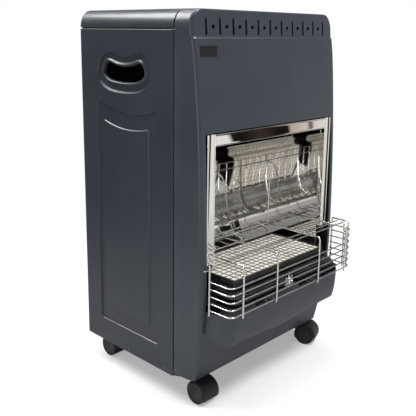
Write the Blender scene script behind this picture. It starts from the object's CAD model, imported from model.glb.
"""Portable gas cabinet heater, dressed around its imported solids.

A slate steel cabinet on four twin-wheel casters, with a moulded front, a bright
trimmed window, a ceramic burner under a polished reflector, a welded wire guard, the
controls in a well in the top, and a lift-off rear cover. The drawing is in
millimetres: X = 0 is the middle, Y = 0 is the seam behind the front moulding, -Y is
the front, Z = 0 is the floor.
"""

import math

import bmesh
import bpy
from bpy.props import FloatProperty, FloatVectorProperty, IntProperty, PointerProperty
from mathutils import Matrix, Vector
from mathutils.geometry import tessellate_polygon


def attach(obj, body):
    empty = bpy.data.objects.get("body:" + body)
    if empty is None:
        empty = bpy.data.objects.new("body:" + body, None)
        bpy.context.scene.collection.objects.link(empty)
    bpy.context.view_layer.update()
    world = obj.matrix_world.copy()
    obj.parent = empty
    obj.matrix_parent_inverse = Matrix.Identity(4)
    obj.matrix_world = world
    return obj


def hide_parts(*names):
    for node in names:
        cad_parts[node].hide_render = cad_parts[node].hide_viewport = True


bl_info = {
    "name": "Portable gas cabinet heater",
    "version": (1, 0, 0),
    "blender": (4, 5, 0),
    "location": "3D View > Sidebar > Heater",
    "description": "Builds the heater's visible pieces and its studio",
    "category": "Add Mesh",
}

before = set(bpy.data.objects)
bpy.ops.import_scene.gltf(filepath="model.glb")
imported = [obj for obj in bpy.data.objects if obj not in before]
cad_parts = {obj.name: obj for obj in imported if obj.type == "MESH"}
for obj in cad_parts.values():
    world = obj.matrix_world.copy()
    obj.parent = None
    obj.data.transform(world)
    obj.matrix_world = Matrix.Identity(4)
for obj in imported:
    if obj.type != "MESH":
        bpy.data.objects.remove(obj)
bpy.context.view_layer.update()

MM = 0.001
ROW_SHIFT = -115.0  # the drawing's seam lies this far in front of the frame's middle

# ------------------------------------------------------------------ drawing sizes, mm

HALF_WIDTH = 210.0
DEPTH = 265.0
FLOOR_GAP = 50.735
HEIGHT = 722.735
SHEET = 1.2
MOULD = 2.2
SEAM_HALF = 0.6
TOUCH = 0.3
SHOULDER_WIDTH = 25.0
SHOULDER_HEIGHT = 31.0
SHOULDER_BASE = HEIGHT - SHOULDER_HEIGHT
COVER_BOTTOM = SHOULDER_BASE - 1.0
PANEL_TOP = COVER_BOTTOM - 2.4
FLANGE = 14.0
HANDLE_Y = 137.0
HANDLE_HEIGHT = HEIGHT - 113.0
RECESS_FRONT = 37.0
RECESS_REAR = 218.5
RECESS_BOTTOM = FLOOR_GAP + 48.0
RECESS_LOW = 537.2  # lowest height of the recess's sagging upper edge
RECESS_LOW_Y = 122.0  # where it is lowest
RECESS_SWEEP = 225.0  # radius of its arc
RIDGE = HEIGHT - 49.0
SLOT_MIDDLE = HEIGHT - 29.0
SLOT_COUNT = 11
SLOT_PITCH = 34.25
FACE_PROFILE = [
    (0, 40), (27, 45.9), (57, 51.7), (87, 56.7), (137, 62.5), (187, 65), (237, 65.3),
    (337, 63.4), (437, 59.6), (537, 52.6), (597, 46.6), (621, 42.6),
]
FLANK_PROFILE = [(0, 14), (27, 12.6), (87, 9.6), (157, 7), (287, 6.2), (487, 5.8), (672, 3.6)]
FACE_CORNER = 8.0
WINDOW_TOP = HEIGHT - 209.0
WINDOW_BOTTOM = FLOOR_GAP + 133.0
WINDOW_HALF = 186.0
WINDOW_GAP = 4.5
POST_WIDTH = 20.0
POST_LENGTH = 234.0
BAND_WIDTH = 22.0
WINDOW_INNER = WINDOW_HALF - POST_WIDTH
TRIM_FRONT = 60.0
TRIM_DEPTH = 9.0
TRIM_REAR = TRIM_DEPTH - TRIM_FRONT
PLAQUE_FACE = FLOOR_GAP + 193.0
PLAQUE_PITCH = 91.3
BURNER_HALF = 1.5 * PLAQUE_PITCH
BURNER_FRONT = 84.0
BURNER_REAR = 46.0
BOX_TOP = PLAQUE_FACE + 2.4
BOX_BOTTOM = BOX_TOP - 46.0
PILOT_X = 6.0
PILOT_Y = -99.0
PILOT_BASE = BOX_BOTTOM + 1.0
REFLECTOR_BACK = 72.0
REFLECTOR_TOP = WINDOW_TOP - 21.5
ROW_LOWEST = FLOOR_GAP + 151.0
GRILLE_HEIGHT = PLAQUE_FACE + 48.0
ROW_PITCH = (GRILLE_HEIGHT - ROW_LOWEST) / 6.7
GUARD_HALF = 190.0
GUARD_FRONT = 124.0
GUARD_REAR = 72.0
GUARD_BEND = 14.0
OUTER_UPRIGHT = 162.0
INNER_UPRIGHT = 67.0
APRON_TOP = BOX_BOTTOM - 5.8
APRON_BOTTOM = APRON_TOP - 63.0
APRON_HALF = 189.0
APRON_PROFILE = [(0, 109.4), (16, 109), (36, 107.2), (56, 103.2), (70, 98), (80, 91)]
WELL_X = (42.0, 174.0)
WELL_Y = (116.0, 194.0)
WELL_CORNER = 14.0
WELL_FLOOR = HEIGHT - SHEET - 27.0
KNOB_X = 132.0
BUTTON_X = 74.0
CONTROL_Y = 155.0
COVER_TOP = HEIGHT - 33.0
COVER_BASE = FLOOR_GAP + 9.0
COVER_HALF = 206.0
BULGE_TOP = COVER_TOP - 108.0
BULGE_DROP = 40.0
BULGE_HALF = 186.0
BULGE_REAR_HALF = 134.0
BULGE_CORNER = 16.0
BULGE_DEPTH = 94.0
WHEEL_RADIUS = 21.5
WHEEL_HEIGHT = WHEEL_RADIUS * math.cos(math.pi / 20)
HOOD_RADIUS = 23.9
HOOD_HALF = 19.6
HOOD_START = -28.0  # degrees round the axle, from level at the front
HOOD_END = 208.0  # as far below level at the rear
CASTERS = [
    ("caster_front_left", -166.0, -15.0, -21.0, 0.0),
    ("caster_front_right", 166.0, -15.0, -21.0, 20.0),
    ("caster_rear_left", -166.0, 206.0, 21.0, 0.0),
    ("caster_rear_right", 166.0, 206.0, 21.0, 0.0),
]


def length(name, about, millimetres):
    """A size property, given in millimetres and kept in metres."""
    return FloatProperty(
        name=name, description=about, default=millimetres * MM, min=0.0, unit="LENGTH", precision=4
    )


def colour(name, about, red, green, blue):
    """A colour property."""
    return FloatVectorProperty(
        name=name, description=about, default=(red, green, blue), min=0.0, max=1.0, subtype="COLOR"
    )


class HeaterSizes(bpy.types.PropertyGroup):
    """Sizes of the visible details."""

    slot_width: length("Slot width", "Width of a vent slot in the top band", 5.0)
    slot_height: length("Slot height", "Height of a vent slot in the top band", 28.3)
    dot_width: length("Dot width", "Corner to corner of the small vents between the slots", 8.6)
    ridge_step: length("Ridge step", "How far the vent band is set back", 2.6)
    row_wire: length("Row wire", "Thickness of the guard's thin wires", 2.6)
    upright_wire: length("Upright wire", "Thickness of the guard's uprights", 3.4)
    gauze_wire: length("Gauze wire", "Thickness of the gauze over the ceramic", 1.5)
    gauze_columns: IntProperty(
        name="Gauze columns", description="Squares of the gauze along the burner", default=20, min=2
    )
    gauze_rows: IntProperty(
        name="Gauze rows", description="Squares of the gauze across the burner", default=10, min=2
    )
    edge_round: length("Edge rounding", "Rounding of the folded steel edges", 1.4)


class HeaterColours(bpy.types.PropertyGroup):
    """Base colours of the finishes."""

    cabinet: colour("Cabinet steel", "Powder coat of the sides, top and rear", 0.022, 0.026, 0.034)
    front: colour("Front moulding", "Painted moulding of the front", 0.032, 0.037, 0.047)
    matt_black: colour("Matt black", "Burner housing and inner plates", 0.010, 0.010, 0.011)
    plastic_black: colour("Black plastic", "Casters, knob and control well", 0.012, 0.012, 0.013)
    bright: colour("Bright metal", "Window trim and guard wires", 0.80, 0.79, 0.77)
    ceramic: colour("Ceramic", "Burner plaques", 0.95, 0.92, 0.85)
    brass: colour("Brass", "Gas rail, jets and hose tail", 0.66, 0.46, 0.19)
    zinc: colour("Zinc", "Plated brackets, valve and stems", 0.42, 0.43, 0.44)


def sizes():
    """The size settings of the scene."""
    return bpy.context.scene.heater_sizes


def colours():
    """The colour settings of the scene."""
    return bpy.context.scene.heater_colours


def in_mm(value):
    """A size setting in the drawing's millimetres."""
    return value / MM


def place(x, y, z):
    """A point of the drawing as a point of the frame."""
    return Vector((x, y + ROW_SHIFT, z)) * MM


# ------------------------------------------------------------------ outlines and curves


def read_profile(table, at):
    """Smooth reading of a table of (place, value) pairs."""
    last = len(table) - 1
    if at <= table[0][0]:
        return float(table[0][1])
    if at >= table[last][0]:
        return float(table[last][1])
    upper = next(i for i, (x, _) in enumerate(table) if x > at)

    def slope(index):
        before, after = table[max(index - 1, 0)], table[min(index + 1, last)]
        return (after[1] - before[1]) / (after[0] - before[0])

    start, end = table[upper - 1], table[upper]
    span = end[0] - start[0]
    t = (at - start[0]) / span
    rise = 3 * t * t - 2 * t ** 3
    leave = t ** 3 - 2 * t * t + t
    arrive = t ** 3 - t * t
    bend = span * (slope(upper - 1) * leave + slope(upper) * arrive)
    return start[1] + (end[1] - start[1]) * rise + bend


def rounded_rectangle(x, y, radius, steps=6):
    """Corner points of a rounded rectangle, counter-clockwise."""
    radius = max(radius, 0.05)
    corners = [
        (x[1] - radius, y[0] + radius, -90), (x[1] - radius, y[1] - radius, 0),
        (x[0] + radius, y[1] - radius, 90), (x[0] + radius, y[0] + radius, 180),
    ]
    points = []
    for middle_x, middle_y, start in corners:
        for step in range(steps + 1):
            angle = math.radians(start + 90 * step / steps)
            points.append((middle_x + radius * math.cos(angle), middle_y + radius * math.sin(angle)))
    return points


def smooth_loop(knots, count):
    """A closed smooth curve through knots, as evenly spaced points."""
    dense = []
    total = len(knots)
    for index in range(total):
        p = [Vector(knots[(index + shift) % total]) for shift in (-1, 0, 1, 2)]
        for step in range(16):
            t = step / 16
            dense.append(
                0.5 * (
                    2 * p[1] + (p[2] - p[0]) * t
                    + (2 * p[0] - 5 * p[1] + 4 * p[2] - p[3]) * t * t
                    + (3 * p[1] - p[0] - 3 * p[2] + p[3]) * t ** 3
                )
            )
    return even_loop(dense, count)


def even_loop(points, count):
    """A closed line of points as count points at even distances."""
    line = [*points, points[0]]
    runs = [0.0]
    for before, after in zip(line, line[1:]):
        runs.append(runs[-1] + (after - before).length)
    result = []
    index = 0
    for step in range(count):
        target = runs[-1] * step / count
        while index < len(runs) - 2 and runs[index + 1] < target:
            index += 1
        span = runs[index + 1] - runs[index]
        share = (target - runs[index]) / span if span > 0 else 0.0
        result.append(line[index].lerp(line[index + 1], share))
    return result


def grown(outline, margin):
    """A counter-clockwise loop moved outwards by margin."""
    total = len(outline)
    result = []
    for index, (x, y) in enumerate(outline):
        before, after = outline[index - 1], outline[(index + 1) % total]
        along = Vector((after[0] - before[0], after[1] - before[1])).normalized()
        result.append((x + along.y * margin, y - along.x * margin))
    return result


def bezier(points, steps):
    """A cubic or quadratic curve as steps + 1 points."""
    controls = [Vector(p) for p in points]
    result = []
    for step in range(steps + 1):
        level = controls
        t = step / steps
        while len(level) > 1:
            level = [a.lerp(b, t) for a, b in zip(level, level[1:])]
        result.append(level[0])
    return result


def rounded_route(corners, bend, steps=8):
    """Straight runs through the corners, with rounded bends."""
    points = [Vector(c) for c in corners]
    route = [points[0]]
    for index in range(1, len(points) - 1):
        corner = points[index]
        ends = []
        for other in (points[index - 1], points[index + 1]):
            reach = other - corner
            ends.append(corner + reach.normalized() * min(bend, reach.length * 0.45))
        route.extend(bezier([ends[0], corner, ends[1]], steps))
    route.append(points[-1])
    return route


# ------------------------------------------------------------------ meshes


class Skin:
    """Points of the drawing and the faces between them."""

    def __init__(self):
        self.points = []
        self.faces = []

    def ring(self, points):
        """Adds points and gives their numbers."""
        start = len(self.points)
        self.points.extend(tuple(p) for p in points)
        return list(range(start, len(self.points)))

    def bridge(self, low, high, closed=True):
        """Faces between two rows with the same number of points."""
        count = len(low)
        for index in range(count if closed else count - 1):
            after = (index + 1) % count
            self.faces.append((low[index], low[after], high[after], high[index]))

    def fill(self, ring, holes=()):
        """Faces across a ring, with rings left open in it."""
        loops = [ring, *holes]
        flat = [index for loop in loops for index in loop]
        corners = [[Vector(self.points[index]) for index in loop] for loop in loops]
        for triangle in tessellate_polygon(corners):
            self.faces.append(tuple(flat[index] for index in triangle))

    def loft(self, rings, closed=True, looped=False, start=False, end=False):
        """Adds rows of points and joins each to the next; start and end close the body."""
        indexed = [self.ring(ring) for ring in rings]
        for low, high in zip(indexed, indexed[1:]):
            self.bridge(low, high, closed)
        if looped:
            self.bridge(indexed[-1], indexed[0], closed)
        if start:
            self.fill(indexed[0])
        if end:
            self.fill(indexed[-1])
        return indexed

    def tube(self, path, radius, sides=10):
        """A round wire along a path of points, with eased ends."""
        line = [Vector(p) for p in path]
        line = [p for i, p in enumerate(line) if i == 0 or (p - line[i - 1]).length > 1e-6]
        tangents = []
        for index in range(len(line)):
            before, after = line[max(index - 1, 0)], line[min(index + 1, len(line) - 1)]
            arriving = line[index] - before
            leaving = after - line[index]
            arriving = arriving.normalized() if arriving.length > 0 else arriving
            leaving = leaving.normalized() if leaving.length > 0 else leaving
            tangents.append((arriving + leaving).normalized())
        side = tangents[0].orthogonal().normalized()
        rings = []
        for point, tangent in zip(line, tangents):
            side = (side - tangent * side.dot(tangent)).normalized()
            other = tangent.cross(side)
            ring = []
            for step in range(sides):
                angle = 2 * math.pi * step / sides
                ring.append(point + side * (radius * math.cos(angle)) + other * (radius * math.sin(angle)))
            rings.append(ring)
        first = [p.lerp(line[0], 0.3) - tangents[0] * radius * 0.25 for p in rings[0]]
        final = [p.lerp(line[-1], 0.3) + tangents[-1] * radius * 0.25 for p in rings[-1]]
        self.loft([first, *rings, final], start=True, end=True)

    def turned(self, profile, centre, axis="Z", sides=48, looped=False):
        """A turned body: (radius, along) pairs round the Z or X axis through centre."""
        rings = []
        centre = Vector(centre)
        for radius, along in profile:
            ring = []
            for step in range(sides):
                angle = 2 * math.pi * (step + 0.5) / sides
                across, up = max(radius, 0.001) * math.cos(angle), max(radius, 0.001) * math.sin(angle)
                offset = (across, up, along) if axis == "Z" else (along, across, up)
                ring.append(centre + Vector(offset))
            rings.append(ring)
        self.loft(rings, looped=looped, start=not looped, end=not looped)

    def prism(self, outline, low, high, edge=0.5, plane="XY"):
        """An outline pushed from low to high with eased edges."""
        spots = [(-edge, low), (-edge * 0.3, low + edge * 0.3), (0, low + edge)]
        spots += [(0, high - edge), (-edge * 0.3, high - edge * 0.3), (-edge, high)]
        rings = []
        for margin, at in spots:
            ring = []
            for a, b in grown(outline, margin):
                ring.append({"XY": (a, b, at), "XZ": (a, at, b), "YZ": (at, a, b)}[plane])
            rings.append(ring)
        self.loft(rings, start=True, end=True)

    def block(self, x, y, z, edge=0.4):
        """A small plate or block with eased corners."""
        self.prism(rounded_rectangle(x, y, max(edge, 0.3), 2), z[0], z[1], edge)


def new_mesh(name, skin, turn=None):
    """A clean mesh in the frame's metres, with its faces turned outwards."""
    mesh = bpy.data.meshes.new(name)
    points = [place(*p) for p in skin.points]
    if turn:
        points = [turn @ p for p in points]
    mesh.from_pydata(points, [], skin.faces)
    mesh.validate()
    work = bmesh.new()
    work.from_mesh(mesh)
    bmesh.ops.remove_doubles(work, verts=work.verts, dist=1e-6)
    bmesh.ops.dissolve_degenerate(work, edges=work.edges, dist=1e-7)
    bmesh.ops.recalc_face_normals(work, faces=work.faces)
    work.to_mesh(mesh)
    work.free()
    return mesh


def settle(piece):
    """Applies the piece's modifiers."""
    graph = bpy.context.evaluated_depsgraph_get()
    graph.update()
    mesh = bpy.data.meshes.new_from_object(piece.evaluated_get(graph), depsgraph=graph)
    old = piece.data
    piece.modifiers.clear()
    piece.data = mesh
    mesh.name = piece.name
    bpy.data.meshes.remove(old)


def extent(mesh):
    """Width, depth and height of a mesh, added up."""
    spots = [v.co for v in mesh.vertices]
    return sum(max(p[k] for p in spots) - min(p[k] for p in spots) for k in range(3))


def make(name, skin, coat, body="cabinet", stands_for=(), turn=None, wall=0.0,
         inward=True, cutters=(), rounding=0.0, rounding_angle=40, smooth=35):
    """Turns a skin into a finished piece that rides on a body.

    A wall makes a sheet of the skin, and cutters are taken out of it. Edges sharper than
    rounding_angle are rounded, and those under smooth are shaded smooth."""
    piece = bpy.data.objects.new(name, new_mesh(name, skin, turn))
    bpy.context.scene.collection.objects.link(piece)
    if wall:
        before = extent(piece.data)
        modifier = piece.modifiers.new("wall", "SOLIDIFY")
        modifier.thickness = wall * MM
        modifier.offset = -1.0
        modifier.use_even_offset = True
        modifier.use_quality_normals = True
        graph = bpy.context.evaluated_depsgraph_get()
        after = extent(piece.evaluated_get(graph).data)
        if (after > before + wall * MM * 0.2) == inward:
            modifier.offset = 1.0
        settle(piece)
    for cutter in cutters:
        tool = bpy.data.objects.new(name + "_cutter", new_mesh(name + "_cutter", cutter, turn))
        bpy.context.scene.collection.objects.link(tool)
        modifier = piece.modifiers.new("cut", "BOOLEAN")
        modifier.operation = "DIFFERENCE"
        modifier.solver = "EXACT"
        modifier.object = tool
        settle(piece)
        bpy.data.objects.remove(tool)
    if rounding:
        modifier = piece.modifiers.new("rounding", "BEVEL")
        modifier.width = rounding * MM
        modifier.segments = 2
        modifier.limit_method = "ANGLE"
        modifier.angle_limit = math.radians(rounding_angle)
        modifier.use_clamp_overlap = True
        settle(piece)
    piece.data.shade_smooth()
    piece.data.set_sharp_from_angle(angle=math.radians(smooth))
    modifier = piece.modifiers.new("flat_faces", "WEIGHTED_NORMAL")
    modifier.keep_sharp = True
    settle(piece)
    piece.data.materials.clear()
    piece.data.materials.append(coat)
    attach(piece, body)
    if stands_for:
        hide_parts(*stands_for)


# ------------------------------------------------------------------ shader groups


class Nodes:
    """Short hand for building a node tree. Values may be numbers or sockets."""

    def __init__(self, tree):
        self.tree = tree

    def add(self, kind, **settings):
        node = self.tree.nodes.new(kind)
        for key, value in settings.items():
            setattr(node, key, value)
        return node

    def link(self, source, target):
        self.tree.links.new(source, target)

    def feed(self, socket, value):
        """Links a socket to an input, or sets the input to a number or a colour."""
        if isinstance(value, bpy.types.NodeSocket):
            self.link(value, socket)
        elif socket.type == "RGBA":
            socket.default_value = (*value[:3], 1.0)
        else:
            socket.default_value = value

    def set(self, node, **values):
        """Feeds inputs by name, with _ for a space."""
        for key, value in values.items():
            self.feed(node.inputs[key.replace("_", " ")], value)
        return node

    def math(self, operation, a, b=0.0, clamp=False):
        node = self.add("ShaderNodeMath", operation=operation, use_clamp=clamp)
        for socket, value in zip(node.inputs, (a, b)):
            self.feed(socket, value)
        return node.outputs[0]

    def distance(self, x, y):
        """Distance from the origin in a plane."""
        squares = self.math("ADD", self.math("MULTIPLY", x, x), self.math("MULTIPLY", y, y))
        return self.math("SQRT", squares)

    def zone(self, value, rise, full, fade, end):
        """1 where a value lies between full and fade, with soft ends down to 0."""
        return self.math("MULTIPLY", self.ramp(value, rise, full), self.ramp(value, fade, end, 1.0, 0.0))

    def spot(self, kind="Object"):
        """The place that is being shaded."""
        return self.add("ShaderNodeTexCoord").outputs[kind]

    def split(self, vector):
        """The X, Y and Z of a vector, by name."""
        node = self.add("ShaderNodeSeparateXYZ")
        self.link(vector, node.inputs[0])
        return node.outputs

    def noise(self, spot, scale, detail):
        """Soft random spots."""
        node = self.set(self.add("ShaderNodeTexNoise"), Vector=spot, Scale=scale, Detail=detail)
        return node.outputs["Fac"]

    def ramp(self, value, low, high, out_low=0.0, out_high=1.0):
        """A value between low and high turned into one between out_low and out_high."""
        node = self.add("ShaderNodeMapRange", clamp=True)
        self.set(node, Value=value, From_Min=low, From_Max=high, To_Min=out_low, To_Max=out_high)
        return node.outputs["Result"]

    def mix(self, factor, first, second):
        """A colour between first and second."""
        node = self.add("ShaderNodeMix", data_type="RGBA")
        for index, value in ((0, factor), (6, first), (7, second)):
            self.feed(node.inputs[index], value)
        return node.outputs[2]


def group(name, inputs, outputs):
    """Makes a shader node group; gives its node helper and its named sockets."""
    tree = bpy.data.node_groups.new(name, "ShaderNodeTree")
    for label, kind, value in inputs:
        socket = tree.interface.new_socket(label, in_out="INPUT", socket_type=kind)
        socket.default_value = value
    for label, kind in outputs:
        tree.interface.new_socket(label, in_out="OUTPUT", socket_type=kind)
    nodes = Nodes(tree)
    start = nodes.add("NodeGroupInput")
    end = nodes.add("NodeGroupOutput")
    return nodes, start.outputs, end.inputs


def surface_grain():
    """Fine bumps of powder coat and moulded plastic."""
    n, start, end = group(
        "surface_grain",
        [("Size", "NodeSocketFloat", 900.0), ("Depth", "NodeSocketFloat", 1.0)],
        [("Height", "NodeSocketFloat"), ("Mottle", "NodeSocketFloat")],
    )
    spot = n.spot()
    fine = n.noise(spot, start["Size"], 3.0)
    cells = n.add("ShaderNodeTexVoronoi", feature="SMOOTH_F1")
    n.set(cells, Vector=spot, Scale=n.math("MULTIPLY", start["Size"], 0.6))
    both = n.math("ADD", fine, n.math("MULTIPLY", cells.outputs["Distance"], 0.6))
    n.link(n.math("MULTIPLY", both, start["Depth"]), end["Height"])
    n.link(n.ramp(n.noise(spot, 9.0, 4.0), 0.35, 0.65), end["Mottle"])


def edge_wear():
    """Paler rubbed edges and a little dust on what faces up."""
    n, start, end = group(
        "edge_wear",
        [
            ("Colour", "NodeSocketColor", (0.05, 0.05, 0.05, 1)),
            ("Edge colour", "NodeSocketColor", (0.2, 0.2, 0.2, 1)),
            ("Edge amount", "NodeSocketFloat", 0.4),
            ("Dust amount", "NodeSocketFloat", 0.05),
        ],
        [("Colour", "NodeSocketColor"), ("Edge", "NodeSocketFloat")],
    )
    shape = n.add("ShaderNodeNewGeometry")
    spot = n.spot()
    ragged = n.math("MULTIPLY", n.noise(spot, 120.0, 4.0), 0.03)
    sharp = n.math("ADD", shape.outputs["Pointiness"], ragged)
    edge = n.math("MULTIPLY", n.ramp(sharp, 0.54, 0.62), start["Edge amount"])
    coloured = n.mix(edge, start["Colour"], start["Edge colour"])
    up = n.ramp(n.split(shape.outputs["Normal"])["Z"], 0.4, 1.0)
    speck = n.ramp(n.noise(spot, 35.0, 6.0), 0.4, 0.7)
    dust = n.math("MULTIPLY", n.math("MULTIPLY", up, speck), start["Dust amount"])
    n.link(n.mix(dust, coloured, (0.35, 0.34, 0.32)), end["Colour"])
    n.link(edge, end["Edge"])


def drawn_metal():
    """Long faint streaks and clouding of polished or drawn metal."""
    n, start, end = group(
        "drawn_metal",
        [
            ("Stretch", "NodeSocketVector", (1.0, 1.0, 1.0)),
            ("Streaks", "NodeSocketFloat", 0.5),
            ("Clouding", "NodeSocketFloat", 0.5),
        ],
        [("Height", "NodeSocketFloat"), ("Rough", "NodeSocketFloat"), ("Shade", "NodeSocketFloat")],
    )
    spot = n.spot()
    pulled = n.add("ShaderNodeVectorMath", operation="MULTIPLY")
    n.link(spot, pulled.inputs[0])
    n.link(start["Stretch"], pulled.inputs[1])
    streak = n.math("SUBTRACT", n.noise(pulled.outputs[0], 60.0, 5.0), 0.5)
    lines = n.math("MULTIPLY", streak, start["Streaks"])
    cloud = n.math("SUBTRACT", n.noise(spot, 26.0, 3.0), 0.5)
    haze = n.math("MULTIPLY", cloud, start["Clouding"])
    n.link(n.math("ADD", lines, n.math("MULTIPLY", haze, 0.4)), end["Height"])
    n.link(n.math("ADD", n.math("MULTIPLY", lines, 0.25), n.math("MULTIPLY", haze, 0.3)), end["Rough"])
    n.link(n.math("ADD", lines, haze), end["Shade"])


# ------------------------------------------------------------------ finishes


FINISH_PREFIX = "heater_"  # keeps these apart from the plain materials of the frame


def finish(name):
    """One of the finished materials."""
    return bpy.data.materials[FINISH_PREFIX + name]


def empty_nodes(owner):
    """A node helper for the emptied tree of a material or a world."""
    owner.use_nodes = True
    owner.node_tree.nodes.clear()
    return Nodes(owner.node_tree)


def material(name, metallic=0.0, roughness=0.5, specular=0.5):
    """Makes a material with only its shader; gives its node helper and the shader."""
    n = empty_nodes(bpy.data.materials.new(FINISH_PREFIX + name))
    output = n.add("ShaderNodeOutputMaterial")
    shader = n.add("ShaderNodeBsdfPrincipled")
    n.set(shader, Metallic=metallic, Roughness=roughness)
    shader.inputs["Specular IOR Level"].default_value = specular
    n.link(shader.outputs["BSDF"], output.inputs["Surface"])
    return n, shader


def place_group(n, name, **values):
    """A shader group put into a material and fed by name."""
    return n.set(n.add("ShaderNodeGroup", node_tree=bpy.data.node_groups[name]), **values)


def bump(n, shader, height, distance, strength=1.0):
    """Fine relief from a height, with its depth in millimetres."""
    node = n.add("ShaderNodeBump")
    node.inputs["Distance"].default_value = distance * MM
    node.inputs["Strength"].default_value = strength
    n.link(height, node.inputs["Height"])
    n.link(node.outputs["Normal"], shader.inputs["Normal"])


def coated(name, base, roughness, grain_size, grain_depth, edge=0.35, dust=0.03, mottle=0.06, coat=0.0):
    """Paint, powder coat, glaze or moulded plastic."""
    n, shader = material(name, roughness=roughness, specular=0.36)
    shader.inputs["Coat Roughness"].default_value = 0.16
    grain = place_group(n, "surface_grain", Size=grain_size, Depth=1.0)
    pale = [min(1.0, c * 2.4 + 0.02) for c in base]
    wear = place_group(n, "edge_wear", Edge_colour=pale, Edge_amount=edge, Dust_amount=dust)
    darker = [c * (1 - mottle) for c in base]
    lighter = [min(1.0, c * (1 + mottle)) for c in base]
    n.link(n.mix(grain.outputs["Mottle"], darker, lighter), wear.inputs["Colour"])
    n.link(wear.outputs["Colour"], shader.inputs["Base Color"])
    rough = n.math("ADD", roughness - 0.03, n.math("MULTIPLY", grain.outputs["Mottle"], 0.06))
    n.link(rough, shader.inputs["Roughness"])
    shader.inputs["Coat Weight"].default_value = coat
    bump(n, shader, grain.outputs["Height"], grain_depth)


def bright_metal(name, base, roughness, stretch, streaks=0.4, clouding=0.4, depth=0.02, tint=None):
    """Plated, polished or drawn metal. The stretch is shortest along its streaks."""
    n, shader = material(name, metallic=1.0, roughness=roughness)
    drawn = place_group(n, "drawn_metal", Stretch=stretch, Streaks=streaks, Clouding=clouding)
    other = tint or [c * 0.86 for c in base]
    n.link(n.mix(n.ramp(drawn.outputs["Shade"], -0.2, 0.2), base, other), shader.inputs["Base Color"])
    rough = n.math("ADD", roughness, drawn.outputs["Rough"], clamp=True)
    n.link(n.math("MAXIMUM", rough, 0.015), shader.inputs["Roughness"])
    if depth:
        bump(n, shader, drawn.outputs["Height"], depth)


def make_finishes():
    """Every material of the heater, by name."""
    for build in (surface_grain, edge_wear, drawn_metal):
        build()
    c = colours()
    coated("cabinet_steel", c.cabinet, 0.38, 1100.0, 0.016, edge=0.25, coat=0.14)
    coated("front_moulding", c.front, 0.36, 1300.0, 0.010, edge=0.25, coat=0.14)
    coated("matt_black_steel", c.matt_black, 0.5, 900.0, 0.03, edge=0.5)
    coated("burner_black", c.matt_black, 0.42, 700.0, 0.04, edge=0.6, dust=0.08, mottle=0.2)
    coated("well_plastic", c.plastic_black, 0.5, 800.0, 0.05)
    coated("knob_plastic", c.plastic_black, 0.28, 1500.0, 0.01, coat=0.2)
    coated("caster_plastic", c.plastic_black, 0.42, 1200.0, 0.02, edge=0.4)
    coated("tread_plastic", [v * 0.9 for v in c.plastic_black], 0.36, 1500.0, 0.01, edge=0.5)
    coated("blank_black", c.plastic_black, 0.3, 1800.0, 0.01)
    bright_metal("bright_trim", c.bright, 0.02, (3.0, 3.0, 0.15), streaks=0.06, clouding=0.06, depth=0)
    bright_metal("polished_reflector", [0.84, 0.83, 0.81], 0.035, (0.2, 4.0, 4.0), streaks=0.08,
                 clouding=0.1, depth=0)
    bright_metal("guard_wire", c.bright, 0.2, (1.0, 1.0, 1.0), streaks=0.2, clouding=0.3)
    bright_metal("heat_wire", (0.24, 0.23, 0.22), 0.42, (2.0, 2.0, 2.0), streaks=0.5, clouding=0.6,
                 tint=(0.15, 0.14, 0.135))
    bright_metal("zinc_plate", c.zinc, 0.38, (4.0, 1.0, 1.0), streaks=0.6, clouding=0.8)
    bright_metal("drawn_pipe", (0.38, 0.38, 0.39), 0.3, (3.0, 3.0, 0.3), streaks=0.4)
    bright_metal("brass_fittings", c.brass, 0.28, (2.0, 2.0, 2.0), streaks=0.4, clouding=0.6)
    ceramic_finish(c.ceramic)
    coated("porcelain", (0.70, 0.78, 0.88), 0.15, 400.0, 0.01, edge=0.0, dust=0.0, mottle=0.04, coat=0.5)


def ceramic_finish(base):
    """Unglazed ceramic with its fine pattern of flame holes and faint scorching."""
    n, shader = material("burner_ceramic", roughness=0.85, specular=0.2)
    spot = n.spot()
    parts = n.split(spot)
    pitch = 0.0021  # metres between the flame holes
    row = n.math("FLOOR", n.math("DIVIDE", parts["Y"], pitch * 0.87))
    shifted = n.math("ADD", parts["X"], n.math("MULTIPLY", row, pitch / 2))
    across = n.math("PINGPONG", shifted, pitch / 2)
    along = n.math("PINGPONG", parts["Y"], pitch * 0.435)
    hole = n.ramp(n.distance(across, along), 0.00035, 0.0006, 1.0, 0.0)
    browned = [value * share for value, share in zip(base, (0.88, 0.82, 0.74))]
    scorched = n.mix(n.ramp(n.noise(spot, 30.0, 5.0), 0.4, 0.75), base, browned)
    n.link(n.mix(n.math("MULTIPLY", hole, 0.75), scorched, (0.10, 0.075, 0.05)), shader.inputs["Base Color"])
    bump(n, shader, n.math("SUBTRACT", 1.0, hole), 0.4, 0.5)


# ------------------------------------------------------------------ cabinet


def shoulder_profile(inset, steps=18):
    """The rounded top of the cabinet, right side up and over to the left, in X and Z."""
    side = [(HALF_WIDTH - inset, COVER_BOTTOM)]
    for step in range(steps + 1):
        angle = math.pi / 2 * step / steps
        side.append((
            HALF_WIDTH - SHOULDER_WIDTH + (SHOULDER_WIDTH - inset) * math.cos(angle),
            SHOULDER_BASE + (SHOULDER_HEIGHT - inset) * math.sin(angle),
        ))
    return side + [(-x, z) for x, z in reversed(side)]


def well_outline(inset):
    """Outline of the control well, in X and Y."""
    x = (WELL_X[0] + inset, WELL_X[1] - inset)
    y = (WELL_Y[0] + inset, WELL_Y[1] - inset)
    return rounded_rectangle(x, y, WELL_CORNER - inset, 8)


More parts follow.
